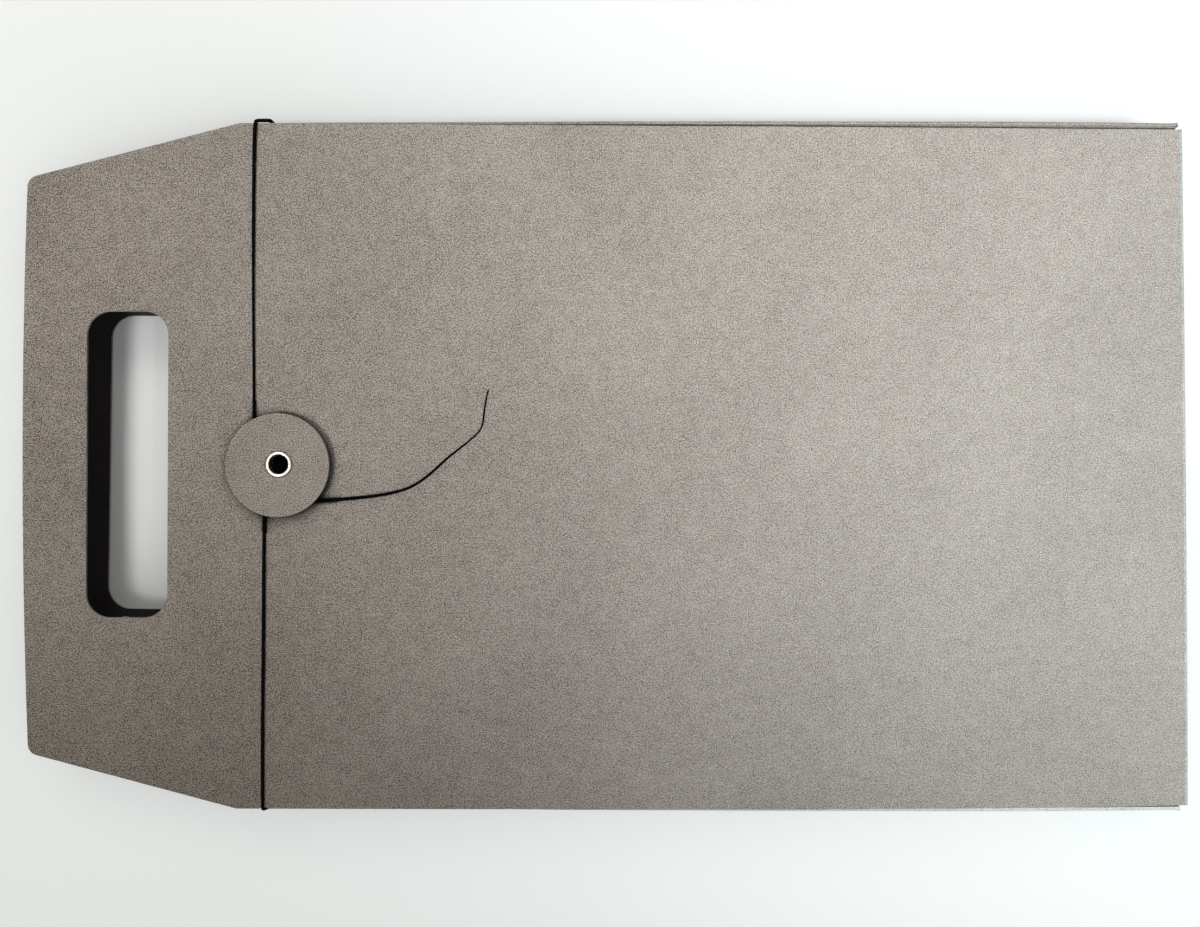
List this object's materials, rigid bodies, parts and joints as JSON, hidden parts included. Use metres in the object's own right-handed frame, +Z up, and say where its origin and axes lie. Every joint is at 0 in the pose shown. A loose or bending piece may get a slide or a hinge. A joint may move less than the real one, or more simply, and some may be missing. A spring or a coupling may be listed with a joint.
{
  "type": "presentation folder",
  "caption": "Flat greyboard carry folder for loose papers, with a cut-out handle, folding side walls and flaps, and a cord and disc closure.",
  "frame": {"origin": "middle of the closed folder's box, on the surface it lies on, which the cord's run under the back cover touches", "axes": "+X from the handle to the spine, +Y to the folder's right side when it is carried by its handle and seen from the front, +Z up from the back cover to the front cover"},
  "size_m": [0.393, 0.2342, 0.0259],
  "materials": {
    "greyboard": "matte uncoated recycled board",
    "eyelet_metal": "bright nickel plate",
    "black_cord": "waxed black cord"
  },
  "bodies": {
    "back": {"back_cover": "greyboard", "back_spine_crease": "greyboard", "right_wall_crease": "greyboard", "left_wall_crease": "greyboard", "cord_back_run": "black_cord"},
    "spine": {"spine_wall": "greyboard", "front_spine_crease": "greyboard"},
    "front": {"front_cover": "greyboard", "closure_eyelet": "eyelet_metal", "cord_knot_loop": "black_cord", "cord_left_strand": "black_cord", "cord_left_leg": "black_cord", "cord_right_leg": "black_cord", "cord_right_strand": "black_cord", "cord_tail": "black_cord"},
    "disc": {"closure_disc": "greyboard"},
    "right_wall": {"right_side_wall": "greyboard", "right_flap_crease": "greyboard"},
    "left_wall": {"left_side_wall": "greyboard", "left_flap_crease": "greyboard"},
    "right_flap": {"right_inner_flap": "greyboard"},
    "left_flap": {"left_inner_flap": "greyboard"}
  },
  "joints": [
    {"name": "spine_fold", "type": "hinge", "parent": "back", "child": "spine", "pos_m": [0.195, 0, 0.00265], "axis": [0, 1, 0], "range_deg": [0, 90], "deforming": ["back_spine_crease"]},
    {"name": "cover_fold", "type": "hinge", "parent": "spine", "child": "front", "pos_m": [0.195, 0, 0.01965], "axis": [0, 1, 0], "range_deg": [0, 89], "deforming": ["front_spine_crease", "cord_left_leg", "cord_right_leg"]},
    {"name": "right_wall_fold", "type": "hinge", "parent": "back", "child": "right_wall", "pos_m": [0, 0.1145, 0.00265], "axis": [-1, 0, 0], "range_deg": [0, 90], "deforming": ["right_wall_crease"]},
    {"name": "left_wall_fold", "type": "hinge", "parent": "back", "child": "left_wall", "pos_m": [0, -0.1145, 0.00265], "axis": [1, 0, 0], "range_deg": [0, 90], "deforming": ["left_wall_crease"]},
    {"name": "right_flap_fold", "type": "hinge", "parent": "right_wall", "child": "right_flap", "pos_m": [0, 0.1145, 0.01815], "axis": [-1, 0, 0], "range_deg": [0, 90], "deforming": ["right_flap_crease"]},
    {"name": "left_flap_fold", "type": "hinge", "parent": "left_wall", "child": "left_flap", "pos_m": [0, -0.1145, 0.01815], "axis": [1, 0, 0], "range_deg": [0, 90], "deforming": ["left_flap_crease"]},
    {"name": "disc_spin", "type": "hinge", "parent": "front", "child": "disc", "pos_m": [-0.1085, 0, 0.0246], "axis": [0, 0, 1], "continuous": true}
  ],
  "couplings": [
    {"joint": "right_wall_fold", "follows": "spine_fold", "ratio": 1},
    {"joint": "left_wall_fold", "follows": "spine_fold", "ratio": 1},
    {"joint": "right_flap_fold", "follows": "cover_fold", "ratio": 1},
    {"joint": "left_flap_fold", "follows": "cover_fold", "ratio": 1}
  ]
}
